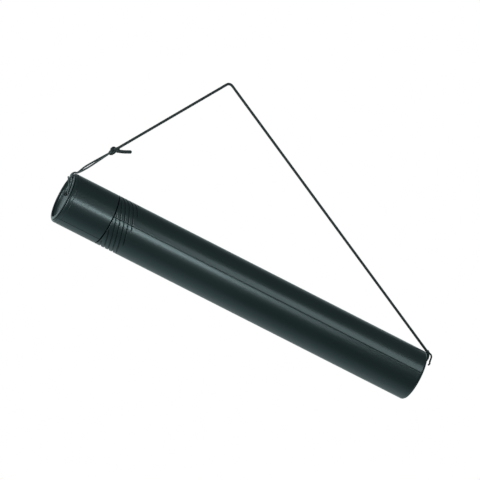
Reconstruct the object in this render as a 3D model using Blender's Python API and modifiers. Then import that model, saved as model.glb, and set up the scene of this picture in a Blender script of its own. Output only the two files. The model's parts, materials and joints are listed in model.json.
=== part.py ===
"""Telescopic document tube that hangs from its carrying cord.

World frame: metres, +Z up, origin where the hanging cord turns over its hook.
Tube frame (the empty "tube_axis"): +Z along the tube towards the head, which is the way the inner tube
draws out, +X to the tube's upper side, origin at the centre of the foot's end plane.
"""

import math

import bmesh
import bpy
from mathutils import Matrix, Vector

# Overall sizes
LENGTH = 0.645  # end plane to end plane, closed
TUBE_RADIUS = 0.0425  # barrel and head, outside
WALL = 0.0016
HEAD_LENGTH = 0.080  # from the seam to the head's end plane
TILT = math.radians(26.3)  # the hanging tube's slope, head end up
TURNED_STEPS = 40

HOOK = (0.2809, 0, 0.4801)  # where the cord turns over its hook, in the tube frame

# Gaps
GAP = 0.0003  # between pieces that rest on each other
SEAM_GAP = 0.0006  # between the head's shoulder and the barrel's mouth
THREAD_GAP = 0.0004  # radial running clearance, crest to wall

WELD_DISTANCE = 0.00002

# Ends of both tubes: a rounded shoulder that turns in to the plug's seat
SHOULDER_RADIUS = 0.006
SHOULDER_ANGLE = math.radians(39)  # where the plug's flange takes over the round
SEAT_RADIUS = 0.0378  # hole that the plug's skirt goes into
SEAT_DEPTH = 0.0016

# End plugs
SKIRT_WALL = 0.0016
SKIRT_DEPTH = 0.0130
RECESS_RADIUS = 0.0350
RECESS_DEPTH = 0.0045
DISH_DEPTH = 0.0015
FLOOR_THICKNESS = 0.0018
CORD_HOLE_RADIUS = 0.0027
CORD_HOLE_UP = 0.006
CORD_HOLE_APART = 0.014

# Multi-start thread that locks the drawn-out length
STARTS = 10
THREAD_PITCH = 0.0072
THREAD_PHASE = math.radians(20)  # where the first start begins, turned from the tube's upper side
GROOVE_TURN = math.radians(152)
GROOVE_STEPS = 13
GROOVE_DEPTH = 0.0012
GROOVE_WIDTH = 0.0034
ZONE_FROM_MOUTH = 0.0022
RIDGE_HEIGHT = 0.0013
RIDGE_FOOT = 0.0044
RIDGE_CREST = 0.0022
LUG_TURN = math.radians(60)
LUG_STEPS = 5
LUG_FOOT = 0.0032
LUG_CREST = 0.0012
LUG_EVERY = 2  # one lug on every second start
STATIONS = 6
STATION_PITCHES = 12  # thread pitches from one station to the next
SUNK = 0.0005  # how far a thread bar's foot goes into the wall that carries it
INNER_LENGTH = 0.535  # inner tube below the head's shoulder

# Cord
CORD_DIAMETER = 0.0036
KNOT_RADIUS = 0.0058
SMALL_KNOT_RADIUS = 0.0040
POINTS_EVERY = 2.8  # diameters between a long run's points
BEND_POINTS_EVERY = 1.3  # the same in the loops and short ends
TIED_KNOT = (0.1023, 0, 0.6027)
FOOT_KNOT = (0.0431, 0, -0.0019)
HEAD_KNOT = (0.0060, 0, 0.6433)
# The routes, in the tube frame. Each loop is given for one strand, up to the middle of its bend
# behind the plug; the other strand mirrors it across the tube's middle plane.
MAIN_ROUTE = [
    (0.1073, 0, 0.5992),
    (0.1571, 0, 0.5657),
    (0.2234, 0, 0.5210),
    (0.2682, 0, 0.4908),
    (0.2781, 0, 0.4841),
    (0.2799, 0, 0.4824),
    (0.2809, 0, 0.4801),
    (0.2811, 0, 0.4776),
    (0.2804, 0, 0.4752),
    (0.2751, 0, 0.4645),
    (0.2537, 0, 0.4215),
    (0.1646, 0, 0.2424),
    (0.0800, 0, 0.0723),
    (0.0450, 0, 0.0020),
]
HEAD_LOOP = [
    (0.0972, 0.0023, 0.6060),
    (0.0710, 0.0025, 0.6230),
    (0.0446, 0.0023, 0.6401),
    (0.0427, 0.0024, 0.6442),
    (0.0390, 0.0026, 0.6467),
    (0.0351, 0.0030, 0.6470),
    (0.0295, 0.0039, 0.6442),
    (0.0220, 0.0052, 0.6422),
    (0.0140, 0.0066, 0.6422),
    (0.0072, 0.0070, 0.6408),
    (0.0060, 0.0070, 0.6354),
    (0.0060, 0.0050, 0.6305),
    (0.0060, 0, 0.6284),
]
FOOT_LOOP = [
    (0.0395, 0.0023, -0.0043),
    (0.0360, 0.0023, -0.0054),
    (0.0310, 0.0027, -0.0050),
    (0.0262, 0.0038, -0.0020),
    (0.0210, 0.0053, 0.0020),
    (0.0140, 0.0066, 0.0030),
    (0.0072, 0.0070, 0.0042),
    (0.0060, 0.0070, 0.0096),
    (0.0060, 0.0050, 0.0145),
    (0.0060, 0, 0.0166),
]
TIED_END = [
    (0.1040, -0.0026, 0.5972),
    (0.1075, -0.0034, 0.5875),
    (0.1106, -0.0036, 0.5810),
    (0.1129, -0.0035, 0.5760),
]
HEAD_END = [
    (0.0103, 0, 0.6431),
    (0.0170, 0, 0.6428),
    (0.0225, 0, 0.6436),
    (0.0268, 0, 0.6469),
    (0.0334, 0, 0.6509),
]
FOOT_END = [
    (0.0426, 0, -0.0065),
    (0.0419, 0, -0.0086),
    (0.0392, 0, -0.0105),
    (0.0350, 0, -0.0112),
    (0.0310, 0, -0.0116),
    (0.0280, 0, -0.0127),
    (0.0246, 0, -0.0112),
]

# Derived sizes
LEAD = STARTS * THREAD_PITCH
SEAM = LENGTH - HEAD_LENGTH
BORE = TUBE_RADIUS - WALL
RIDGE_TIP = BORE - RIDGE_HEIGHT
INNER_RADIUS = RIDGE_TIP - THREAD_GAP
LUG_TIP = BORE - THREAD_GAP
ZONE_TOP = SEAM - SEAM_GAP - ZONE_FROM_MOUTH
SKIRT_RADIUS = SEAT_RADIUS - GAP
FLANGE_THICKNESS = SHOULDER_RADIUS * (1 - math.cos(SHOULDER_ANGLE))
CORD_RADIUS = CORD_DIAMETER / 2


# Collections and materials


def clear_scene():
    for thing in list(bpy.data.objects):
        bpy.data.objects.remove(thing)


def new_collection(name):
    group = bpy.data.collections.new(name)
    bpy.context.scene.collection.children.link(group)
    return group


def plastic(name, color, roughness):
    material = bpy.data.materials.new(name)
    material.use_nodes = True
    shader = material.node_tree.nodes["Principled BSDF"]
    shader.inputs["Base Color"].default_value = (*color, 1)
    shader.inputs["Roughness"].default_value = roughness
    shader.inputs["Metallic"].default_value = 0
    return material


def add_object(name, data, group, material=None):
    thing = bpy.data.objects.new(name, data)
    group.objects.link(thing)
    if material:
        data.materials.append(material)
    return thing


def shade_round(thing):
    thing.data.shade_smooth()
    thing.data.set_sharp_from_angle(angle=math.radians(35))


# Shapes


def arc(centre, radius, start, end, steps):
    """Points of an arc in a turned profile; an angle of 0 points outwards and 90 degrees up."""
    turn = (end - start) / steps
    return [
        (
            centre[0] + radius * math.cos(start + turn * i),
            centre[1] + radius * math.sin(start + turn * i),
        )
        for i in range(steps + 1)
    ]


def turned(name, profile, closed, group, material):
    """A profile of (radius, height) points turned about Z; it runs down the outer side."""
    mesh = bpy.data.meshes.new(name)
    edges = [(i, i + 1) for i in range(len(profile) - 1)]
    if closed:
        edges.append((len(profile) - 1, 0))
    mesh.from_pydata([(r, 0, z) for r, z in profile], edges, [])
    thing = add_object(name, mesh, group, material)
    screw = thing.modifiers.new("Turn", "SCREW")
    screw.axis = "Z"
    screw.angle = math.tau
    screw.steps = TURNED_STEPS
    screw.render_steps = TURNED_STEPS
    screw.use_merge_vertices = True
    screw.merge_threshold = 0.00001
    return thing


def evaluated_mesh(thing):
    graph = bpy.context.evaluated_depsgraph_get()
    return bpy.data.meshes.new_from_object(thing.evaluated_get(graph))


def clean_mesh(mesh, merge=0.00001):
    """Welds loose ends, closes open ends and turns all faces outwards."""
    work = bmesh.new()
    work.from_mesh(mesh)
    bmesh.ops.remove_doubles(work, verts=work.verts, dist=merge)
    bmesh.ops.holes_fill(work, edges=work.edges, sides=0)
    bmesh.ops.recalc_face_normals(work, faces=work.faces)
    work.to_mesh(mesh)
    work.free()
    return mesh


def helical_bar(section, turn, steps, angle, height):
    """A bar swept along the thread, downwards from a height, as a closed mesh."""
    mesh = bpy.data.meshes.new("thread_bar")
    count = len(section)
    mesh.from_pydata(
        [(r, 0, z) for r, z in section], [(i, (i + 1) % count) for i in range(count)], []
    )
    guide = bpy.data.objects.new("thread_bar", mesh)
    bpy.context.scene.collection.objects.link(guide)
    screw = guide.modifiers.new("Thread", "SCREW")
    screw.axis = "Z"
    screw.angle = -turn
    screw.screw_offset = -LEAD * turn / math.tau
    screw.steps = steps
    screw.render_steps = steps
    screw.use_merge_vertices = False
    bar = evaluated_mesh(guide)
    bpy.data.objects.remove(guide)
    clean_mesh(bar)
    bar.transform(Matrix.Translation((0, 0, height)) @ Matrix.Rotation(angle, 4, "Z"))
    return bar


def joined(name, meshes, group):
    """Separate closed bars in one cutter or guide object."""
    work = bmesh.new()
    for mesh in meshes:
        work.from_mesh(mesh)
    result = bpy.data.meshes.new(name)
    work.to_mesh(result)
    work.free()
    guide = add_object(name, result, group)
    guide.hide_render = True
    guide.display_type = "WIRE"
    return guide


def combine(thing, other, operation):
    step = thing.modifiers.new(other.name, "BOOLEAN")
    step.operation = operation
    step.solver = "EXACT"
    step.object = other


def weld(thing):
    """Merges the hair-thin faces that a Boolean leaves along the long walls."""
    step = thing.modifiers.new("Weld", "WELD")
    step.merge_threshold = WELD_DISTANCE


def smooth_route(points, spacing):
    """Points of a centripetal spline through the route's own points, about a spacing apart."""
    route = [Vector(p) for p in points]
    ends = [2 * route[0] - route[1], *route, 2 * route[-1] - route[-2]]
    even = []
    for p0, p1, p2, p3 in zip(ends, ends[1:], ends[2:], ends[3:]):
        t1 = (p1 - p0).length ** 0.5
        t2 = t1 + (p2 - p1).length ** 0.5
        t3 = t2 + (p3 - p2).length ** 0.5
        steps = max(1, round((p2 - p1).length / spacing))
        for i in range(steps):
            t = t1 + (t2 - t1) * i / steps
            a1 = p0.lerp(p1, t / t1)
            a2 = p1.lerp(p2, (t - t1) / (t2 - t1))
            a3 = p2.lerp(p3, (t - t2) / (t3 - t2))
            b1 = a1.lerp(a2, t / t2)
            b2 = a2.lerp(a3, (t - t1) / (t3 - t1))
            even.append(b1.lerp(b2, (t - t1) / (t2 - t1)))
    return [*even, route[-1]]


def cord(name, points, spacing, group, material):
    """A round cord along a route, as a POLY curve with filled ends."""
    curve = bpy.data.curves.new(name, "CURVE")
    curve.dimensions = "3D"
    curve.bevel_depth = CORD_RADIUS
    curve.bevel_resolution = 2
    curve.use_fill_caps = True
    even = smooth_route(points, spacing * CORD_DIAMETER)
    spline = curve.splines.new("POLY")
    spline.points.add(len(even) - 1)
    for place, point in zip(spline.points, even):
        place.co = (*point, 1)
    return add_object(name, curve, group, material)


# The tubes


def lower_shoulder():
    """The barrel's foot, from its side in to the plug's seat and back out to the bore."""
    centre = (TUBE_RADIUS - SHOULDER_RADIUS, SHOULDER_RADIUS)
    flange_top = FLANGE_THICKNESS + GAP
    end = -math.acos((SHOULDER_RADIUS - flange_top) / SHOULDER_RADIUS) - math.pi / 2
    outside = arc(centre, SHOULDER_RADIUS, 0, -math.pi - end, 4)
    inside = [
        (SEAT_RADIUS, flange_top),
        (SEAT_RADIUS, flange_top + SEAT_DEPTH),
        (BORE, SHOULDER_RADIUS + WALL),
    ]
    return outside + inside


def mirrored_up(profile):
    """The head's shoulder: the foot's, turned over, in running order."""
    return [(r, LENGTH - z) for r, z in reversed(profile)]


def make_barrel(group, guides, material):
    profile = [(TUBE_RADIUS, SEAM - SEAM_GAP), *lower_shoulder(), (BORE, SEAM - SEAM_GAP)]
    barrel = turned("barrel", profile, True, group, material)
    ridge = [
        (BORE + SUNK, RIDGE_FOOT / 2),
        (RIDGE_TIP, RIDGE_CREST / 2),
        (RIDGE_TIP, -RIDGE_CREST / 2),
        (BORE + SUNK, -RIDGE_FOOT / 2),
    ]
    groove = [
        (TUBE_RADIUS + GROOVE_DEPTH, GROOVE_WIDTH),
        (TUBE_RADIUS - GROOVE_DEPTH, 0),
        (TUBE_RADIUS + GROOVE_DEPTH, -GROOVE_WIDTH),
    ]
    turns = [THREAD_PHASE + math.tau * i / STARTS for i in range(STARTS)]
    top = ZONE_TOP - RIDGE_FOOT / 2
    ridges = [helical_bar(ridge, GROOVE_TURN, GROOVE_STEPS, turn, top) for turn in turns]
    grooves = [helical_bar(groove, GROOVE_TURN, GROOVE_STEPS, turn, top) for turn in turns]
    combine(barrel, joined("barrel_ridges", ridges, guides), "UNION")
    combine(barrel, joined("barrel_grooves", grooves, guides), "DIFFERENCE")
    weld(barrel)
    shade_round(barrel)
    return barrel


def make_inner_tube(group, guides, material):
    shoulder = mirrored_up(lower_shoulder())
    step = SEAM + WALL
    profile = [
        *shoulder[3:],
        (TUBE_RADIUS, SEAM),
        (INNER_RADIUS, SEAM),
        (INNER_RADIUS, SEAM - INNER_LENGTH),
        (INNER_RADIUS - WALL, SEAM - INNER_LENGTH),
        (INNER_RADIUS - WALL, step),
        (BORE, step),
        *shoulder[:3],
    ]
    tube = turned("inner_tube", profile, True, group, material)
    lug = [
        (LUG_TIP, LUG_CREST / 2),
        (LUG_TIP, -LUG_CREST / 2),
        (INNER_RADIUS - SUNK, -LUG_FOOT / 2),
        (INNER_RADIUS - SUNK, LUG_FOOT / 2),
    ]
    middle = (GROOVE_TURN - LUG_TURN) / 2
    height = ZONE_TOP - RIDGE_FOOT / 2 - THREAD_PITCH / 2 - LEAD * middle / math.tau
    lugs = [
        helical_bar(
            lug,
            LUG_TURN,
            LUG_STEPS,
            THREAD_PHASE + math.tau * start / STARTS - middle,
            height - station * STATION_PITCHES * THREAD_PITCH,
        )
        for station in range(STATIONS)
        for start in range(0, STARTS, LUG_EVERY)
    ]
    combine(tube, joined("inner_tube_lugs", lugs, guides), "UNION")
    weld(tube)
    shade_round(tube)
    return tube


# The end plugs


def plug_profile():
    """A plug at the foot: flange down, recess open downwards, skirt up into the tube."""
    centre = (TUBE_RADIUS - SHOULDER_RADIUS, SHOULDER_RADIUS)
    low = -math.pi / 2
    rim = arc(centre, SHOULDER_RADIUS, low + SHOULDER_ANGLE, low, 2)
    lip = (centre[0] - RECESS_RADIUS) / 2
    recess = arc((RECESS_RADIUS + lip, lip), lip, low, -math.pi, 2)[1:]
    floor = [
        (RECESS_RADIUS - 0.001, RECESS_DEPTH),
        (RECESS_RADIUS - 0.006, RECESS_DEPTH + 0.6 * DISH_DEPTH),
        (RECESS_RADIUS / 2, RECESS_DEPTH + DISH_DEPTH),
        (0, RECESS_DEPTH + DISH_DEPTH),
    ]
    inside = SKIRT_RADIUS - SKIRT_WALL
    back = RECESS_DEPTH + DISH_DEPTH + FLOOR_THICKNESS
    return [
        (0, back),
        (inside, back),
        (inside, SKIRT_DEPTH),
        (SKIRT_RADIUS, SKIRT_DEPTH),
        (SKIRT_RADIUS, FLANGE_THICKNESS),
        *rim,
        *recess,
        *floor,
    ]


def make_plug(name, group, guides, material, at_head):
    profile = plug_profile()
    if at_head:
        profile = mirrored_up(profile)
    plug = turned(name, profile, False, group, material)
    middle = LENGTH - RECESS_DEPTH if at_head else RECESS_DEPTH
    holes = []
    for side in (-1, 1):
        hole = bmesh.new()
        place = Matrix.Translation((CORD_HOLE_UP, side * CORD_HOLE_APART / 2, middle))
        bmesh.ops.create_cone(
            hole,
            cap_ends=True,
            segments=16,
            radius1=CORD_HOLE_RADIUS,
            radius2=CORD_HOLE_RADIUS,
            depth=2 * SKIRT_DEPTH,
            matrix=place,
        )
        mesh = bpy.data.meshes.new(name + "_hole")
        hole.to_mesh(mesh)
        hole.free()
        holes.append(mesh)
    combine(plug, joined(name + "_holes", holes, guides), "DIFFERENCE")
    shade_round(plug)
    return plug


# The cord


def both_strands(half):
    """A loop from its first strand, mirrored across the tube's middle plane."""
    return half + [(up, -side, along) for up, side, along in reversed(half[:-1])]


def knot_ball(name, place, radius, group, material):
    """A tied knot's outer shape."""
    work = bmesh.new()
    bmesh.ops.create_icosphere(work, subdivisions=2, radius=radius)
    mesh = bpy.data.meshes.new(name)
    work.to_mesh(mesh)
    work.free()
    mesh.shade_smooth()
    knot = add_object(name, mesh, group, material)
    knot.location = place
    return knot


def make_cord(group, material):
    """The carrying cord, from its end in the head's plug to its end at the foot."""
    loops = {"head_loop": both_strands(HEAD_LOOP), "foot_loop": both_strands(FOOT_LOOP)}
    ends = {"tied_end": TIED_END, "head_end": HEAD_END, "foot_end": FOOT_END}
    made = [cord("main_cord", MAIN_ROUTE, POINTS_EVERY, group, material)]
    for name, route in {**loops, **ends}.items():
        made.append(cord(name, route, BEND_POINTS_EVERY, group, material))
    made.append(knot_ball("tied_knot", TIED_KNOT, KNOT_RADIUS, group, material))
    made.append(knot_ball("foot_knot", FOOT_KNOT, SMALL_KNOT_RADIUS, group, material))
    made.append(knot_ball("head_knot", HEAD_KNOT, SMALL_KNOT_RADIUS, group, material))
    return made


def main():
    clear_scene()
    parts = new_collection("document_tube")
    guides = new_collection("guides")
    shell = plastic("moulded_plastic", (0.018, 0.025, 0.026), 0.38)
    cap = plastic("plug_plastic", (0.014, 0.020, 0.021), 0.42)
    braid = plastic("braided_cord", (0.010, 0.020, 0.018), 0.80)

    axis = bpy.data.objects.new("tube_axis", None)
    parts.objects.link(axis)
    axis.rotation_euler = (0, TILT - math.pi / 2, 0)
    axis.location = -(axis.rotation_euler.to_matrix() @ Vector(HOOK))

    made = [
        make_barrel(parts, guides, shell),
        make_inner_tube(parts, guides, shell),
        make_plug("head_plug", parts, guides, cap, True),
        make_plug("foot_plug", parts, guides, cap, False),
        *make_cord(parts, braid),
    ]
    for thing in made + list(guides.objects):
        thing.parent = axis


main()
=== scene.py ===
"""The looks of a telescopic document tube that hangs from its carrying cord.

Metres throughout. Shapes are made in the tube's own frame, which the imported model's screw joint
gives: +Z along the tube towards the head, +X to its upper side, origin at the middle of the foot's
end plane.
"""

import json
import math

import bmesh
import bpy
import numpy as np
from mathutils import Matrix, Vector


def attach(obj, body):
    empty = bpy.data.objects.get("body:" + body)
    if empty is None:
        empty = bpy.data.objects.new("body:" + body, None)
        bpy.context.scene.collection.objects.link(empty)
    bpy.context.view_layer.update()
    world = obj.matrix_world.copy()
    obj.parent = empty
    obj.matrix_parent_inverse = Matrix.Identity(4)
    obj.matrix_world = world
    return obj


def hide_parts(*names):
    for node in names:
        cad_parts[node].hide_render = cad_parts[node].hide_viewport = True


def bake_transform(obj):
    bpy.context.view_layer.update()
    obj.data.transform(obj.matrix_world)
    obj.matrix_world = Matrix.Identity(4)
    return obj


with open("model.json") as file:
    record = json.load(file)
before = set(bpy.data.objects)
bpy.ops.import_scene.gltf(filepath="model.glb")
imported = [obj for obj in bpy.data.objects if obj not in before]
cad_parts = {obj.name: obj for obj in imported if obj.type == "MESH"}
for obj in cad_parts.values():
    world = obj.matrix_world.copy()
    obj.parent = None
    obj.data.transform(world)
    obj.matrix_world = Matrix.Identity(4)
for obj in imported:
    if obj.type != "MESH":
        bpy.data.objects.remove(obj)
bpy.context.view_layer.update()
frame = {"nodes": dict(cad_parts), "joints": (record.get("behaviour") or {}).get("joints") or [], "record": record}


def tube_frame():
    """The tube's own frame, from the joint that its head turns on."""
    twist = next(j for j in frame["joints"] if j["name"] == "twist")
    along = Vector(twist["axis"]).normalized()
    side = Vector((0, 1, 0))
    turn = Matrix((side.cross(along), side, along)).transposed()
    return Matrix.Translation(Vector(twist["pos_m"])) @ turn.to_4x4()


TUBE = tube_frame()


def reach(node):
    """Lowest and highest corner of a CAD node in the tube's frame."""
    back = TUBE.inverted()
    corners = np.array([back @ v.co for v in frame["nodes"][node].data.vertices])
    return corners.min(0), corners.max(0)


def climb(turn):
    """How far the screw thread climbs over a turn in radians."""
    return LEAD * turn / math.tau


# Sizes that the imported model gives
RADIUS = reach("barrel")[1][1]
MOUTH = reach("barrel")[1][2]
LENGTH = reach("head_plug")[1][2]
INNER_FOOT = reach("inner_tube")[0][2]
LEAD = math.tau / frame["record"]["behaviour"]["couplings"][0]["ratio"]

# Walls and ends, as in the CAD source where it has them
WALL = 0.0016
BORE = RADIUS - WALL
GAP = 0.0003
SEAM_GAP = 0.0019  # 0.0006 in the CAD; wider here for the seam's dark line
SEAM = MOUTH + SEAM_GAP
SHOULDER_RADIUS = 0.006
SHOULDER_ANGLE = math.radians(39)
SEAT_EDGE_ANGLE = math.radians(35)
FLANGE = SHOULDER_RADIUS * (1 - math.cos(SHOULDER_ANGLE))
SHOULDER_STEPS = 14
SEAT_RADIUS = 0.0378
SEAT_POINTS = 3  # points of the seat in a shoulder's section
SEAT_DEPTH = 0.0016
SKIRT_RADIUS = SEAT_RADIUS - GAP
SKIRT_WALL = 0.0016
SKIRT_DEPTH = 0.0130
RECESS_RADIUS = 0.0350
RECESS_DEPTH = 0.0045
RECESS_DRAFT = 0.0004
RECESS_CORNER = 0.0012
DISH_DEPTH = 0.0015
DISH_RING_AT = 0.62  # share of the dish's radius
DISH_RING_HEIGHT = 0.00035
DISH_RING_HALF_WIDTH = 0.0009
GATE_HEIGHT = 0.0004
GATE_RADIUS = 0.0021
FLOOR_THICKNESS = 0.0018
CORD_HOLE_RADIUS = 0.0027
CORD_HOLE_UP = 0.006
CORD_HOLE_APART = 0.014
HEAD_BORE_DOWN = 0.0095  # where the head's inside ends, below its end plane
LIP = 0.0006  # rounding of the tubes' cut edges

# Fineness of the meshes
FINE = 0.0002  # finest step between rows
BARREL_COLUMNS = 288
HEAD_COLUMNS = 200
PLUG_COLUMNS = 192
NEAREST_COLUMNS = 0.003  # radians
BESIDE_LINES = (0, 0.0003, 0.0006, 0.001, 0.0016, 0.0025, 0.0038, 0.0055)  # from a parting line
THREAD_ROWS = 0.00032
THREAD_MARGIN = 0.0035  # fine rows beyond the thread's lower end
INSIDE_ROWS = 0.0006
STATION_MARGIN = 0.0022
HEAD_LINE_MARGIN = 0.0012

# Screw thread
STARTS = 10
PITCH = LEAD / STARTS
THREAD_PHASE = math.radians(20)
GROOVE_TURN = math.radians(152)
GROOVE_DEPTH = 0.0015
GROOVE_HALF_WIDTH = 0.0015
RIDGE_HALF_WIDTH = 0.0021
RIDGE_HEIGHT = 0.0013
THREAD_END = 0.0012  # length over which a thread fades out
THREAD_TOP = MOUTH - 0.0044
THREAD_LOW = THREAD_TOP - climb(GROOVE_TURN)
GROOVE_TOP = THREAD_TOP + 0.0022  # nearer the mouth than in the CAD
INNER_RADIUS = BORE - RIDGE_HEIGHT - 0.0004
STATIONS = 6
STATION_PITCHES = 12
STATION_TURN = math.radians(60)
STATION_RISE = 0.0013
STATION_HALF_WIDTH = 0.0017

# Marks that blow moulding leaves
PARTING_AT = math.radians(-84.5)  # the barrel's parting line, from the tube's upper side
HEAD_PARTING_AT = math.radians(-148)
PARTING_RISE = 0.00018
PARTING_SPREAD = 0.15
NOTCH_DEPTH = 0.0006
NOTCH_HALF_WIDTH = 0.0010
HEAD_LINE_DOWN = 0.0089  # the head's fine ring, below its end plane
HEAD_LINE_DEPTH = 0.0004
HEAD_LINE_HALF_WIDTH = 0.0009

# Cord
CORD_DIAMETER = 0.0036
CORD_RADIUS = CORD_DIAMETER / 2
CROWN_RADIUS = 0.00225  # out to the crowns of its strands
LOOP_CROWN_RADIUS = 0.0015  # the head's loop and the small cut ends are thinner
BRAID_PITCH = 0.0042
BRAID_STRANDS = 4
BRAID_DEPTH = 0.00032
CORD_SIDES = 20
RING_EVERY = 0.00045
STRAND_SPREAD = 0.0015  # how far each of the head loop's strands is drawn off their middle
SPREAD_WAY = (0.54, 0.84)  # across those strands: up, and along the tube
TIED_END_RADIUS = 0.0029  # thicker than the cord, as in the photo
IN_KNOT = 0.0030  # how far a cord runs on into its knot
KNOT_WEAVE = 0.95  # how far a knot's cord weaves to each side, in its own radii
TIED_KNOT = (0.1023, 0, 0.6027)
TIED_KNOT_SIZE = (0.0104, 0.0066)
TIED_KNOT_STRAND = 0.0025
FOOT_KNOT = (0.0431, 0, -0.0019)
FOOT_KNOT_SIZE = (0.0040, 0.0040)
HEAD_KNOT = (0.0060, 0, 0.6433)
HEAD_KNOT_SIZE = (0.0040, 0.0036)
SMALL_KNOT_STRAND = 0.0014
MAIN_ROUTE = [
    (0.1073, 0, 0.5992),
    (0.1571, 0, 0.5657),
    (0.2234, 0, 0.5210),
    (0.2682, 0, 0.4908),
    (0.2781, 0, 0.4841),
    (0.2799, 0, 0.4824),
    (0.2809, 0, 0.4801),
    (0.2811, 0, 0.4776),
    (0.2804, 0, 0.4752),
    (0.2751, 0, 0.4645),
    (0.2537, 0, 0.4215),
    (0.1646, 0, 0.2424),
    (0.0800, 0, 0.0723),
    (0.0450, 0, 0.0020),
]
HEAD_LOOP = [
    (0.0972, 0.0023, 0.6060),
    (0.0710, 0.0025, 0.6230),
    (0.0446, 0.0023, 0.6401),
    (0.0427, 0.0024, 0.6442),
    (0.0390, 0.0026, 0.6467),
    (0.0351, 0.0030, 0.6470),
    (0.0295, 0.0039, 0.6442),
    (0.0220, 0.0052, 0.6422),
    (0.0140, 0.0066, 0.6422),
    (0.0072, 0.0070, 0.6408),
    (0.0060, 0.0070, 0.6354),
    (0.0060, 0.0050, 0.6305),
    (0.0060, 0, 0.6284),
]
FOOT_LOOP = [
    (0.0395, 0.0023, -0.0043),
    (0.0360, 0.0023, -0.0054),
    (0.0310, 0.0027, -0.0050),
    (0.0262, 0.0038, -0.0020),
    (0.0210, 0.0053, 0.0020),
    (0.0140, 0.0066, 0.0030),
    (0.0072, 0.0070, 0.0042),
    (0.0060, 0.0070, 0.0096),
    (0.0060, 0.0050, 0.0145),
    (0.0060, 0, 0.0166),
]
TIED_END = [
    (0.1040, -0.0026, 0.5972),
    (0.1075, -0.0034, 0.5875),
    (0.1106, -0.0036, 0.5810),
    (0.1129, -0.0035, 0.5760),
]
HEAD_END = [
    (0.0103, 0, 0.6431),
    (0.0170, 0, 0.6428),
    (0.0225, 0, 0.6436),
    (0.0268, 0, 0.6469),
    (0.0334, 0, 0.6509),
]
FOOT_END = [
    (0.0426, 0, -0.0065),
    (0.0419, 0, -0.0086),
    (0.0392, 0, -0.0105),
    (0.0350, 0, -0.0112),
    (0.0310, 0, -0.0116),
    (0.0280, 0, -0.0127),
    (0.0246, 0, -0.0112),
]

# Darker and lighter tone of each material
TUBE_TONES = (0.0075, 0.0140, 0.0145), (0.0110, 0.0185, 0.0190)
CAP_TONES = (0.0065, 0.0125, 0.0130), (0.0100, 0.0165, 0.0170)
CORD_TONES = (0.002, 0.004, 0.004), (0.009, 0.014, 0.013)
# The head loop and its cut end are the same black cord as the rest; these lighter tones are painted light, for the
# light that falls on their strands in the head's recess.
LIT_LOOP_TONES = (0.012, 0.018, 0.018), (0.040, 0.055, 0.054)
SPECULAR_TINT = (0.74, 0.97, 1.0, 1)

# Camera and studio
CAMERA_AZIMUTH = math.radians(-14.47)
CAMERA_TARGET = Vector((0.0170, 0, -0.2472))
CAMERA_DISTANCE = 12
CAMERA_LENS_MM = 567
CAMERA_SENSOR_MM = 36
FRONT_LIGHT = 0.13  # what the plastic mirrors from the camera's side
STUDIO_TINT = (0.80, 0.98, 1.0, 1)
LIGHTS_FACE = (0, 0, -0.25)
FLOOR_RADIUS = 1.5
FLOOR_PLACE = (0, 0.1, -0.72)
FLOOR_WASH = 3.3  # strength of the light that only the floor gets


# Camera


def place_camera():
    """A long lens a little to the head's side of square, level with the tube's middle."""
    away = Vector((math.sin(CAMERA_AZIMUTH), -math.cos(CAMERA_AZIMUTH), 0))
    data = bpy.data.cameras.new("camera")
    data.lens = CAMERA_LENS_MM
    data.sensor_width = CAMERA_SENSOR_MM
    camera = bpy.data.objects.new("camera", data)
    bpy.context.scene.collection.objects.link(camera)
    camera.location = CAMERA_TARGET + CAMERA_DISTANCE * away
    camera.rotation_euler = (-away).to_track_quat("-Z", "Y").to_euler()
    bpy.context.scene.camera = camera


# Mesh helpers


def add_piece(name, mesh, material):
    """A piece whose mesh is in the tube's frame."""
    piece = bpy.data.objects.new(name, mesh)
    bpy.context.scene.collection.objects.link(piece)
    piece.matrix_world = TUBE
    mesh.materials.append(material)
    return piece


def grid_mesh(name, rows, wrap):
    """A mesh over rows of points, each row a closed ring; wrap joins the last row to the first."""
    count, sides = rows.shape[:2]
    index = np.arange(count * sides).reshape(count, sides)
    if wrap:
        index = np.vstack([index, index[:1]])
    low, high = index[:-1], index[1:]
    faces = np.stack([low, np.roll(low, -1, 1), np.roll(high, -1, 1), high], axis=-1)
    mesh = bpy.data.meshes.new(name)
    mesh.from_pydata(rows.reshape(-1, 3).tolist(), [], faces.reshape(-1, 4).tolist())
    work = bmesh.new()
    work.from_mesh(mesh)
    bmesh.ops.remove_doubles(work, verts=work.verts, dist=1e-7)
    bmesh.ops.recalc_face_normals(work, faces=work.faces)
    work.to_mesh(mesh)
    work.free()
    mesh.shade_smooth()
    return mesh


def turned_rows(profile, angles, change=None):
    """Rings of points for (radius, height) rows, with a change of radius at each point."""
    profile = np.array(profile, float)
    radius = profile[:, :1] + np.zeros((1, len(angles)))
    if change is not None:
        radius = radius + change
    height = profile[:, 1:2] + np.zeros((1, len(angles)))
    return np.stack([radius * np.cos(angles), radius * np.sin(angles), height], axis=-1)


def arc(centre, radius, start, end, steps):
    """Points of a round in a profile; an angle of 0 points outwards and 90 degrees up."""
    turns = np.radians(np.linspace(start, end, steps + 1))
    return [(centre[0] + radius * math.cos(a), centre[1] + radius * math.sin(a)) for a in turns]


def heights(low, high, step):
    """Heights from one to the other, no further apart than a step."""
    count = max(2, math.ceil(abs(high - low) / step) + 1)
    return np.linspace(low, high, count)


def smooth(share):
    """A share from 0 to 1, eased at both ends."""
    share = np.clip(share, 0, 1)
    return share * share * (3 - 2 * share)


# The tubes


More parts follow.
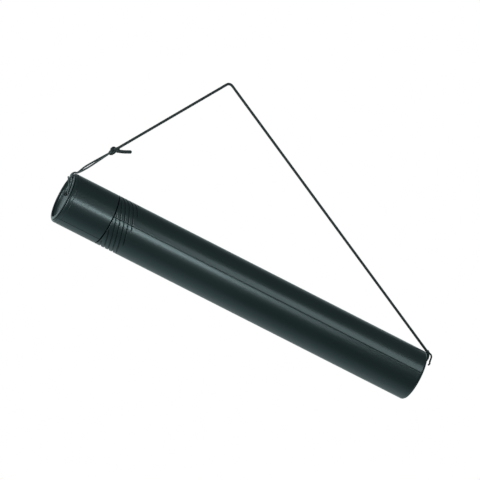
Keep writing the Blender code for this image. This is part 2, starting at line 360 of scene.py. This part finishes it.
def columns(sides, line_at):
    """Angles round a tube, with more of them beside its two parting lines."""
    beside = np.array(BESIDE_LINES) / RADIUS
    extra = [line_at + half + way * beside for half in (0, math.pi) for way in (-1, 1)]
    every = np.concatenate([np.arange(sides) * math.tau / sides, *extra]) % math.tau
    every = np.unique(np.round(every, 5))
    clear = np.append(np.diff(every), every[0] + math.tau - every[-1]) > NEAREST_COLUMNS
    return every[clear]


def parting(angles, line_at, rows):
    """How far the moulded surface lies inside the tube's radius: least along the parting lines,
    which stand up a little and have a fine notch along their crest."""
    off = np.abs((angles - line_at + math.pi / 2) % math.pi - math.pi / 2)
    pinch = np.clip(1 - off / PARTING_SPREAD, 0, 1) ** 2
    notch = smooth(1 - off * RADIUS / NOTCH_HALF_WIDTH)
    return rows[:, None] * (PARTING_RISE * (1 - pinch) + NOTCH_DEPTH * notch)


def thread(angles, at, half_width, middle, top, low):
    """0 to 1 across each thread's section; at their phase the threads cross a middle height."""
    at = np.array(at)[:, None]
    rise = at - middle - climb(angles - THREAD_PHASE)
    off = rise - PITCH * np.round(rise / PITCH)
    centre = at - off
    ends = smooth((top - centre) / THREAD_END + 0.5) * smooth((centre - low) / THREAD_END + 0.5)
    return smooth(1 - np.abs(off) / half_width) * ends


def foot_shoulder():
    """The rounded foot end's section, from the plug's seat out to the tube's side."""
    start = -math.degrees(SEAT_EDGE_ANGLE)
    top = SHOULDER_RADIUS * (1 - math.sin(SEAT_EDGE_ANGLE))
    centre = (RADIUS - SHOULDER_RADIUS, SHOULDER_RADIUS)
    seat = [(SEAT_RADIUS, top + SEAT_DEPTH), (SEAT_RADIUS, top + FINE), (SEAT_RADIUS + FINE, top)]
    return seat + arc(centre, SHOULDER_RADIUS, start, 0, SHOULDER_STEPS)


def moulded_rows(count, outside):
    """How much of the parting lines' relief each row takes, fading in over the shoulder."""
    share = np.zeros(count)
    share[SEAT_POINTS:outside] = 1
    share[SEAT_POINTS : SEAT_POINTS + SHOULDER_STEPS + 1] = np.linspace(0, 1, SHOULDER_STEPS + 1)
    return share


def make_barrel(material):
    """The outer tube: one closed skin from the foot's seat up, over the mouth and down inside."""
    angles = columns(BARREL_COLUMNS, PARTING_AT)
    fine_from = THREAD_LOW - THREAD_MARGIN
    plain_to = THREAD_LOW - 0.004
    fine_to = MOUTH - LIP - FINE
    straight = [(RADIUS, z) for z in heights(2 * SHOULDER_RADIUS, plain_to, 0.02)]
    zone = [(RADIUS, z) for z in heights(fine_from, fine_to, THREAD_ROWS)]
    lip = arc((RADIUS - LIP, MOUTH - LIP), LIP, 0, 90, 4)
    lip += arc((BORE + LIP, MOUTH - LIP), LIP, 90, 180, 4)
    zone_inside = [(BORE, z) for z in heights(fine_to, fine_from, INSIDE_ROWS)]
    straight_inside = [(BORE, z) for z in heights(plain_to, SHOULDER_RADIUS + WALL, 0.04)]
    outside = foot_shoulder() + straight + zone
    inside = zone_inside + straight_inside
    profile = outside + lip + inside
    at = [z for _, z in profile]
    outer, inner = np.zeros((len(profile), 1)), np.zeros((len(profile), 1))
    outer[: len(outside)] = 1
    inner[-len(inside) :] = 1
    dents = thread(angles, at, GROOVE_HALF_WIDTH, THREAD_TOP, GROOVE_TOP, THREAD_LOW)
    ridges = thread(angles, at, RIDGE_HALF_WIDTH, THREAD_TOP, THREAD_TOP, THREAD_LOW)
    change = -outer * GROOVE_DEPTH * dents - inner * RIDGE_HEIGHT * ridges
    change = change - parting(angles, PARTING_AT, moulded_rows(len(profile), len(outside)))
    mesh = grid_mesh("barrel_shell", turned_rows(profile, angles, change), True)
    return add_piece("barrel_shell", mesh, material)


def make_inner_tube(material):
    """The head and the inner tube below it: one closed skin, with stations of raised threads."""
    angles = columns(HEAD_COLUMNS, HEAD_PARTING_AT)
    line = LENGTH - HEAD_LINE_DOWN
    shoulder = [(r, LENGTH - z) for r, z in foot_shoulder()]
    fine = [(RADIUS, z) for z in heights(line + HEAD_LINE_MARGIN, line - HEAD_LINE_MARGIN, FINE)]
    body = [(RADIUS, z) for z in heights(line - 0.002, SEAM + LIP + 0.0003, 0.01)]
    edge = arc((RADIUS - LIP, SEAM + LIP), LIP, 0, -90, 4)
    middle = THREAD_TOP - PITCH / 2
    first = middle - climb(GROOVE_TURN - STATION_TURN) / 2
    tops = [first - station * STATION_PITCHES * PITCH for station in range(STATIONS)]
    tall = climb(STATION_TURN)
    down = [SEAM, SEAM - 0.004]
    for top in tops:
        down.extend(heights(top + STATION_MARGIN, top - tall - STATION_MARGIN, INSIDE_ROWS))
    down.extend([INNER_FOOT + 0.004, INNER_FOOT + LIP])
    outside = [(INNER_RADIUS, z) for z in down]
    thin = INNER_RADIUS - WALL
    lip = arc((INNER_RADIUS - LIP, INNER_FOOT + LIP), LIP, 0, -90, 3)
    lip += arc((thin + LIP, INNER_FOOT + LIP), LIP, -90, -180, 3)
    inside = [(thin, z) for z in reversed(down[2:])]
    step = SEAM + WALL
    head_inside = [
        (thin, step - 0.001),
        (thin + 0.0005, step),
        (BORE, step + 0.0005),
        (BORE, LENGTH - HEAD_BORE_DOWN),
    ]
    head = shoulder + fine + body + edge
    profile = head + outside + lip + inside + head_inside
    at = np.array([z for _, z in profile])
    carries = np.zeros((len(profile), 1))
    carries[len(head) : len(head) + len(outside)] = 1
    carries[-len(head_inside) - len(inside) : -len(head_inside)] = 1
    raised = np.zeros((len(profile), len(angles)))
    for top in tops:
        raised = raised + thread(angles, at, STATION_HALF_WIDTH, middle, top, top - tall)
    change = STATION_RISE * raised * carries
    change = change - parting(angles, HEAD_PARTING_AT, moulded_rows(len(profile), len(head)))
    ring = smooth(1 - np.abs(at - line) / HEAD_LINE_HALF_WIDTH)
    ring[len(head) :] = 0
    change = change - HEAD_LINE_DEPTH * ring[:, None]
    mesh = grid_mesh("head_and_inner_tube", turned_rows(profile, angles, change), True)
    return add_piece("head_and_inner_tube", mesh, material)


# The end plugs


def plug_profile():
    """A plug at the foot: its flange goes on with the shoulder's round, its recess opens down."""
    centre = (RADIUS - SHOULDER_RADIUS, SHOULDER_RADIUS)
    rim = arc(centre, SHOULDER_RADIUS, -90 + math.degrees(SHOULDER_ANGLE) - 2, -90, 8)
    lip = (centre[0] - RECESS_RADIUS) / 2
    inner = arc((RECESS_RADIUS + lip, lip), lip, -90, -180, 6)[1:]
    edge = RECESS_RADIUS - RECESS_DRAFT - RECESS_CORNER
    corner = arc((edge, RECESS_DEPTH - RECESS_CORNER), RECESS_CORNER, 0, 90, 6)
    turns = np.radians(range(6, 85, 6))
    dish = [(edge * math.cos(a), RECESS_DEPTH + DISH_DEPTH * math.sin(a)) for a in turns]
    off_ring = [(r - edge * DISH_RING_AT) / DISH_RING_HALF_WIDTH for r, _ in dish]
    ring = [DISH_RING_HEIGHT * math.exp(-(off**2)) for off in off_ring]
    dish = [(r, z - up) for (r, z), up in zip(dish, ring)]
    deepest = RECESS_DEPTH + DISH_DEPTH
    gate_top = deepest - GATE_HEIGHT
    gate = [(GATE_RADIUS, deepest), (GATE_RADIUS - 0.0003, gate_top), (0, gate_top)]
    back = deepest + FLOOR_THICKNESS
    inside = SKIRT_RADIUS - SKIRT_WALL
    skirt = [
        (0, back),
        (inside - 0.001, back),
        (inside, back + 0.001),
        (inside, SKIRT_DEPTH),
        (SKIRT_RADIUS - 0.0004, SKIRT_DEPTH),
        (SKIRT_RADIUS, SKIRT_DEPTH - 0.0006),
        (SKIRT_RADIUS, FLANGE),
        (rim[0][0] - 0.0001, FLANGE),
    ]
    return skirt + rim + inner + corner + dish + gate


def cord_hole(side, middle):
    """A cutter for one cord hole."""
    work = bmesh.new()
    place = Matrix.Translation((CORD_HOLE_UP, side * CORD_HOLE_APART / 2, middle))
    bmesh.ops.create_cone(
        work,
        cap_ends=True,
        segments=40,
        radius1=CORD_HOLE_RADIUS,
        radius2=CORD_HOLE_RADIUS,
        depth=2 * SKIRT_DEPTH,
        matrix=place,
    )
    mesh = bpy.data.meshes.new("cord_hole")
    work.to_mesh(mesh)
    work.free()
    hole = bpy.data.objects.new("cord_hole", mesh)
    bpy.context.scene.collection.objects.link(hole)
    return hole


def make_plug(name, at_head, material):
    """An end plug with its two cord holes; the head's is the foot's, mirrored."""
    profile = plug_profile()
    middle = RECESS_DEPTH
    if at_head:
        profile = [(r, LENGTH - z) for r, z in profile]
        middle = LENGTH - RECESS_DEPTH
    angles = np.arange(PLUG_COLUMNS) * math.tau / PLUG_COLUMNS
    solid = bpy.data.objects.new(name, grid_mesh(name, turned_rows(profile, angles), False))
    bpy.context.scene.collection.objects.link(solid)
    cutters = [cord_hole(side, middle) for side in (-1, 1)]
    for cutter in cutters:
        cut = solid.modifiers.new("Hole", "BOOLEAN")
        cut.operation = "DIFFERENCE"
        cut.object = cutter
    graph = bpy.context.evaluated_depsgraph_get()
    mesh = bpy.data.meshes.new_from_object(solid.evaluated_get(graph))
    for spare in [solid, *cutters]:
        bpy.data.objects.remove(spare)
    mesh.shade_smooth()
    mesh.set_sharp_from_angle(angle=math.radians(40))
    return add_piece(name + "_moulding", mesh, material)


# The cord


def smooth_route(points, spacing):
    """Points of a centripetal spline through the route's own points, about a spacing apart."""
    route = [Vector(p) for p in points]
    ends = [2 * route[0] - route[1], *route, 2 * route[-1] - route[-2]]
    even = []
    for p0, p1, p2, p3 in zip(ends, ends[1:], ends[2:], ends[3:]):
        t1 = (p1 - p0).length ** 0.5
        t2 = t1 + (p2 - p1).length ** 0.5
        t3 = t2 + (p3 - p2).length ** 0.5
        steps = max(1, round((p2 - p1).length / spacing))
        for i in range(steps):
            t = t1 + (t2 - t1) * i / steps
            a1 = p0.lerp(p1, t / t1)
            a2 = p1.lerp(p2, (t - t1) / (t2 - t1))
            a3 = p2.lerp(p3, (t - t2) / (t3 - t2))
            b1 = a1.lerp(a2, t / t2)
            b2 = a2.lerp(a3, (t - t1) / (t3 - t1))
            even.append(b1.lerp(b2, (t - t1) / (t2 - t1)))
    return np.array([*even, route[-1]])


def longer(line, at_start, at_end):
    """A line run straight on at its ends, by these lengths."""
    parts = [line]
    if at_start:
        way = line[0] - line[1]
        parts.insert(0, [line[0] + way / np.linalg.norm(way) * at_start])
    if at_end:
        way = line[-1] - line[-2]
        parts.append([line[-1] + way / np.linalg.norm(way) * at_end])
    return np.vstack(parts)


def evenly(line, step):
    """The line again, with its points the same distance apart."""
    along = np.concatenate([[0], np.cumsum(np.linalg.norm(np.diff(line, axis=0), axis=1))])
    at = np.linspace(0, along[-1], max(2, math.ceil(along[-1] / step) + 1))
    return np.stack([np.interp(at, along, line[:, k]) for k in range(3)], axis=1), at


def carried_frames(line, closed):
    """Two directions across the line at each point, carried along it without twist."""
    if closed:
        ways = np.roll(line, -1, 0) - np.roll(line, 1, 0)
    else:
        ways = np.gradient(line, axis=0)
    ways /= np.linalg.norm(ways, axis=1)[:, None]
    across = np.zeros_like(line)
    start = np.cross(ways[0], (0.31, 0.87, 0.38))
    across[0] = start / np.linalg.norm(start)
    for i in range(1, len(line)):
        moved = across[i - 1] - ways[i] * (across[i - 1] @ ways[i])
        across[i] = moved / np.linalg.norm(moved)
    if closed:
        first = across[0] - ways[-1] * (across[0] @ ways[-1])
        over = np.cross(ways[-1], across[-1])
        miss = math.atan2(first @ over, first @ across[-1])
        turn = (miss * np.arange(len(line)) / len(line))[:, None]
        across = across * np.cos(turn) + np.cross(ways, across) * np.sin(turn)
    return across, np.cross(ways, across)


def braided_mesh(name, line, radius, closed=False):
    """A braided cord along a line: crossing strands stand up from its round, its ends are domed."""
    line, at = evenly(line, RING_EVERY)
    if closed:
        line, at = line[:-1], at[:-1]
    total = at[-1] + (at[1] if closed else 0)
    repeats = max(1, round(total / BRAID_PITCH))
    turns = np.arange(CORD_SIDES) * math.tau / CORD_SIDES
    one = BRAID_STRANDS * turns[None] / math.tau - repeats * at[:, None] / total
    two = BRAID_STRANDS * turns[None] / math.tau + repeats * at[:, None] / total
    crown = np.sqrt(np.abs(np.cos(math.pi * one) * np.cos(math.pi * two)))
    size = radius - BRAID_DEPTH * radius / CORD_RADIUS * (1 - crown)
    if not closed:
        near_end = np.clip(np.minimum(at, total - at) / radius, 0, 1)[:, None]
        size = size * np.sqrt(np.maximum(0, 1 - (1 - near_end) ** 2))
    across, over = carried_frames(line, closed)
    spread = np.cos(turns)[None, :, None] * across[:, None]
    spread = spread + np.sin(turns)[None, :, None] * over[:, None]
    rows = line[:, None] + size[:, :, None] * spread
    return grid_mesh(name, rows, closed)


def both_strands(half):
    """A loop from its first strand, mirrored across the tube's middle plane."""
    return half + [(up, -side, along) for up, side, along in reversed(half[:-1])]


def spread_loop():
    """The head's loop, with its strands drawn apart between the tied knot and the rim."""
    route = both_strands(HEAD_LOOP)
    for spot, rim, way in ((1, 2, 1), (-2, -3, -1)):
        up, side, along = Vector(route[spot]).lerp(Vector(route[rim]), 0.5)
        up += way * STRAND_SPREAD * SPREAD_WAY[0]
        along += way * STRAND_SPREAD * SPREAD_WAY[1]
        route[spot] = (up, side, along)
    return route


def make_cord(name, route, material, in_knots, radius):
    """A braided cord along a route, run on at its ends into its knots, and the line it follows."""
    line = longer(smooth_route(route, RING_EVERY * 2), *in_knots)
    piece = add_piece(name, braided_mesh(name, line, radius), material)
    return piece, line


def knot_line(thick, points=220):
    """The closed line of a tight overhand knot; thick is how far it weaves out of its plane."""
    t = np.arange(points) * math.tau / points
    flat = np.stack([np.sin(t) + 2 * np.sin(2 * t), np.cos(t) - 2 * np.cos(2 * t)], axis=1)
    line = np.column_stack([flat / 3, -np.sin(3 * t) * thick])
    return np.vstack([line, line[:1]])


def make_knot(name, place, size, strand, way, material):
    """An overhand knot that faces the tube's side; size is its half length and half width, way the
    direction of its length, and strand its cord's radius."""
    line = knot_line(strand * KNOT_WEAVE)
    long = Vector(way).normalized()
    face = Vector((0, 1, 0))
    turn = Matrix((long * (size[0] - strand), face.cross(long) * (size[1] - strand), face))
    line = line @ np.array(turn) + np.array(place)
    return add_piece(name, braided_mesh(name, line, strand, True), material)


# Materials


def new_material(name, color, roughness):
    """A material with its node tree's parts and its shader."""
    material = bpy.data.materials.new(name)
    material.use_nodes = True
    nodes, links = material.node_tree.nodes, material.node_tree.links
    shader = nodes["Principled BSDF"]
    shader.inputs["Base Color"].default_value = (*color, 1)
    shader.inputs["Roughness"].default_value = roughness
    shader.inputs["Specular Tint"].default_value = SPECULAR_TINT
    return material, nodes, links, shader


def noise(nodes, links, place, scale, detail, stretch=(1, 1, 1)):
    """A noise in the piece's own coordinates; a small stretch draws it out along that axis."""
    mapping = nodes.new("ShaderNodeMapping")
    mapping.inputs["Scale"].default_value = stretch
    texture = nodes.new("ShaderNodeTexNoise")
    texture.inputs["Scale"].default_value = scale
    texture.inputs["Detail"].default_value = detail
    links.new(place.outputs["Object"], mapping.inputs["Vector"])
    links.new(mapping.outputs["Vector"], texture.inputs["Vector"])
    return texture.outputs["Fac"]


def ramp(nodes, links, value, stops):
    """A colour ramp over a value; each stop is its place and a grey or a colour."""
    node = nodes.new("ShaderNodeValToRGB")
    for spot, (at, color) in enumerate(stops):
        stop = node.color_ramp.elements[spot] if spot < 2 else node.color_ramp.elements.new(at)
        stop.position = at
        stop.color = (*color, 1) if isinstance(color, tuple) else (color, color, color, 1)
    links.new(value, node.inputs["Fac"])
    return node.outputs["Color"]


def bump(nodes, links, height, distance, strength, below=None):
    """A bumped normal, on top of the one below."""
    node = nodes.new("ShaderNodeBump")
    node.inputs["Distance"].default_value = distance
    node.inputs["Strength"].default_value = strength
    links.new(height, node.inputs["Height"])
    if below is not None:
        links.new(below, node.inputs["Normal"])
    return node.outputs["Normal"]


def moulded_plastic(name, dark, light, roughness):
    """Black blow-moulded plastic: faint streaks along the tube, a fine skin and light scuffs."""
    material, nodes, links, shader = new_material(name, dark, roughness)
    place = nodes.new("ShaderNodeTexCoord")
    tone = noise(nodes, links, place, 14, 4, (1, 1, 0.35))
    links.new(ramp(nodes, links, tone, [(0.35, dark), (0.7, light)]), shader.inputs["Base Color"])
    streaks = noise(nodes, links, place, 120, 3, (1, 1, 0.03))
    scuffs = noise(nodes, links, place, 260, 6, (1, 1, 0.25))
    gloss = ramp(nodes, links, streaks, [(0.3, roughness - 0.03), (0.7, roughness + 0.03)])
    marks = ramp(nodes, links, scuffs, [(0.62, 0.0), (0.78, 0.10)])
    links.new(combine(nodes, links, "ADD", gloss, marks), shader.inputs["Roughness"])
    waves = noise(nodes, links, place, 22, 2, (1, 1, 0.5))
    skin = noise(nodes, links, place, 1400, 2)
    low = bump(nodes, links, waves, 0.0012, 0.1)
    links.new(bump(nodes, links, skin, 0.00006, 0.08, low), shader.inputs["Normal"])
    return material


def braided_fabric(name, dark, light, roughness):
    """Black polyester cord, in two tones."""
    material, nodes, links, shader = new_material(name, dark, roughness)
    place = nodes.new("ShaderNodeTexCoord")
    tone = noise(nodes, links, place, 900, 4)
    links.new(ramp(nodes, links, tone, [(0.3, dark), (0.72, light)]), shader.inputs["Base Color"])
    fibres = noise(nodes, links, place, 5200, 3)
    links.new(bump(nodes, links, fibres, 0.0001, 0.6), shader.inputs["Normal"])
    shader.inputs["Sheen Weight"].default_value = 0.08
    shader.inputs["Sheen Roughness"].default_value = 0.4
    return material


def pale_floor():
    """White paper with a faint grain."""
    material, nodes, links, shader = new_material("floor_paper", (0.86, 0.87, 0.88), 0.9)
    place = nodes.new("ShaderNodeTexCoord")
    grain = noise(nodes, links, place, 300, 2)
    links.new(bump(nodes, links, grain, 0.0005, 0.1), shader.inputs["Normal"])
    return material


# Studio


def softbox(name, place, size, power, target=LIGHTS_FACE):
    """An area light that faces a point, with its long side along the tube."""
    data = bpy.data.lights.new(name, "AREA")
    data.shape = "RECTANGLE"
    data.size, data.size_y = size
    data.energy = power
    light = bpy.data.objects.new(name, data)
    bpy.context.scene.collection.objects.link(light)
    back = (Vector(place) - Vector(target)).normalized()
    along = TUBE.to_3x3() @ Vector((0, 0, -1))
    across = back.cross(along).normalized()
    turn = Matrix((across.cross(back), across, back)).transposed()
    light.matrix_world = Matrix.Translation(Vector(place)) @ turn.to_4x4()
    return light


def make_floor():
    """A pale round floor below the hanging tube."""
    work = bmesh.new()
    bmesh.ops.create_circle(work, cap_ends=True, segments=128, radius=FLOOR_RADIUS)
    mesh = bpy.data.meshes.new("floor")
    work.to_mesh(mesh)
    work.free()
    mesh.materials.append(pale_floor())
    floor = bpy.data.objects.new("floor", mesh)
    bpy.context.scene.collection.objects.link(floor)
    floor.location = FLOOR_PLACE
    floor.visible_glossy = False
    floor.visible_diffuse = False
    return floor


def light_only(light, receiver, state):
    """The light falls only on the receiver, or with EXCLUDE on everything but the receiver."""
    group = bpy.data.collections.new(light.name + "_receivers")
    group.objects.link(receiver)
    light.light_linking.receiver_collection = group
    group.collection_objects[0].light_linking.link_state = state


def blend_in(nodes, links, value, across, strength):
    """A strength that changes smoothly while a value crosses a range."""
    node = nodes.new("ShaderNodeMapRange")
    node.interpolation_type = "SMOOTHSTEP"
    node.inputs["From Min"].default_value, node.inputs["From Max"].default_value = across
    node.inputs["To Min"].default_value, node.inputs["To Max"].default_value = strength
    links.new(value, node.inputs["Value"])
    return node.outputs["Result"]


def combine(nodes, links, operation, one, two):
    """Two values together; the second may be a plain number."""
    node = nodes.new("ShaderNodeMath")
    node.operation = operation
    links.new(one, node.inputs[0])
    if isinstance(two, float):
        node.inputs[1].default_value = two
    else:
        links.new(two, node.inputs[1])
    return node.outputs["Value"]


def make_surroundings():
    """A white studio; the plastic mirrors it white behind and dim on the camera's side."""
    world = bpy.data.worlds.new("studio")
    bpy.context.scene.world = world
    world.use_nodes = True
    nodes, links = world.node_tree.nodes, world.node_tree.links
    nodes.clear()
    place = nodes.new("ShaderNodeTexCoord")
    parts = nodes.new("ShaderNodeSeparateXYZ")
    links.new(place.outputs["Generated"], parts.inputs["Vector"])
    back = blend_in(nodes, links, parts.outputs["Y"], (0.15, 1.0), (0, 0.95))
    not_high = blend_in(nodes, links, parts.outputs["Z"], (0.75, 0.0), (0.1, 1))
    not_low = blend_in(nodes, links, parts.outputs["Z"], (-0.5, -0.05), (0.5, 1))
    level = combine(nodes, links, "MULTIPLY", not_high, not_low)
    behind = combine(nodes, links, "MULTIPLY", back, level)
    near = blend_in(nodes, links, parts.outputs["Y"], (-0.75, 0.25), (0, 0.72))
    below = blend_in(nodes, links, parts.outputs["Z"], (-0.45, -1.0), (0, 1))
    under = combine(nodes, links, "MULTIPLY", near, below)
    lit = combine(nodes, links, "ADD", under, behind)
    total = combine(nodes, links, "ADD", lit, FRONT_LIGHT)
    mirrored = nodes.new("ShaderNodeBackground")
    mirrored.inputs["Color"].default_value = STUDIO_TINT
    links.new(total, mirrored.inputs["Strength"])
    seen = nodes.new("ShaderNodeBackground")
    seen.inputs["Color"].default_value = (1, 1, 1, 1)
    rays = nodes.new("ShaderNodeLightPath")
    mix = nodes.new("ShaderNodeMixShader")
    out = nodes.new("ShaderNodeOutputWorld")
    links.new(rays.outputs["Is Camera Ray"], mix.inputs["Fac"])
    links.new(mirrored.outputs["Background"], mix.inputs[1])
    links.new(seen.outputs["Background"], mix.inputs[2])
    links.new(mix.outputs["Shader"], out.inputs["Surface"])


def head_middle():
    """The middle of the head's end plane."""
    return TUBE @ Vector((0, 0, LENGTH))


def light_studio():
    """Soft lights for the tube, and an even wash for the floor alone."""
    bpy.context.scene.view_settings.view_transform = "Standard"
    make_surroundings()
    floor = make_floor()
    strip = softbox("key_strip", (-0.05, -0.75, -0.266), (0.40, 0.10), 1.25)
    tail = softbox("key_tail", (0.07, -0.75, -0.272), (0.64, 0.10), 1.25)
    side = softbox("side_softbox", (0.65, -0.75, -0.09), (0.86, 0.30), 3.1)
    fill = softbox("head_fill", (-0.95, -0.30, 0.05), (0.40, 0.40), 10, head_middle())
    for light in (strip, tail, side, fill):
        light_only(light, floor, "EXCLUDE")
    data = bpy.data.lights.new("floor_wash", "SUN")
    data.energy = FLOOR_WASH
    data.angle = math.radians(60)
    wash = bpy.data.objects.new("floor_wash", data)
    bpy.context.scene.collection.objects.link(wash)
    light_only(wash, floor, "INCLUDE")


# Build


def build_cords():
    """The carrying cord's runs, loops, cut ends and knots, each on its body."""
    plain = braided_fabric("braided_cord_fabric", *CORD_TONES, 0.7)
    # The head loop and its cut end get a lighter, glossier copy of the cord material: its lighter colour is
    # painted light on the strands in the head's recess.
    lit_loop = braided_fabric("painted_light_loop_fabric", *LIT_LOOP_TONES, 0.42)
    both, one = (IN_KNOT, IN_KNOT), (IN_KNOT, 0)
    thin, small = LOOP_CROWN_RADIUS, SMALL_KNOT_STRAND
    main, main_line = make_cord("carrying_cord", MAIN_ROUTE, plain, both, CROWN_RADIUS)
    head_loop, head_line = make_cord("head_loop_cord", spread_loop(), lit_loop, both, thin)
    foot_route = both_strands(FOOT_LOOP)
    foot_loop, foot_line = make_cord("foot_loop_cord", foot_route, plain, both, CORD_RADIUS)
    tied_end, _ = make_cord("tied_end_cord", TIED_END, plain, one, TIED_END_RADIUS)
    head_end, _ = make_cord("head_end_cord", HEAD_END, lit_loop, one, thin)
    foot_end, _ = make_cord("foot_end_cord", FOOT_END, plain, one, thin)
    pull = Vector(MAIN_ROUTE[0]) - Vector(HEAD_LOOP[0])
    tied_knot, foot_knot, head_knot = (
        make_knot(name, place, size, strand, way, plain)
        for name, place, size, strand, way in (
            ("tied_overhand_knot", TIED_KNOT, TIED_KNOT_SIZE, TIED_KNOT_STRAND, pull),
            ("foot_overhand_knot", FOOT_KNOT, FOOT_KNOT_SIZE, small, (1, 0, 1)),
            ("head_overhand_knot", HEAD_KNOT, HEAD_KNOT_SIZE, small, (1, 0, 0)),
        )
    )

    for piece, body, node in (
        (head_loop, "cord_yoke", "head_loop"),
        (tied_end, "cord_yoke", "tied_end"),
        (tied_knot, "cord_yoke", "tied_knot"),
        (foot_loop, "barrel", "foot_loop"),
        (foot_end, "barrel", "foot_end"),
        (foot_knot, "barrel", "foot_knot"),
        (head_end, "inner_tube", "head_end"),
        (head_knot, "inner_tube", "head_knot"),
    ):
        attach(piece, body)
        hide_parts(node)
    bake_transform(main)
    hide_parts("main_cord")


def build_tube():
    """The two tubes and their end plugs."""
    shell = moulded_plastic("tube_plastic", *TUBE_TONES, 0.31)
    cap = moulded_plastic("cap_plastic", *CAP_TONES, 0.30)
    barrel = make_barrel(shell)
    inner = make_inner_tube(shell)
    head_plug = make_plug("head_plug", True, cap)
    foot_plug = make_plug("foot_plug", False, cap)
    for piece, body, node in (
        (barrel, "barrel", "barrel"),
        (inner, "inner_tube", "inner_tube"),
        (head_plug, "inner_tube", "head_plug"),
        (foot_plug, "barrel", "foot_plug"),
    ):
        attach(piece, body)
        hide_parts(node)


place_camera()
build_cords()
build_tube()
light_studio()
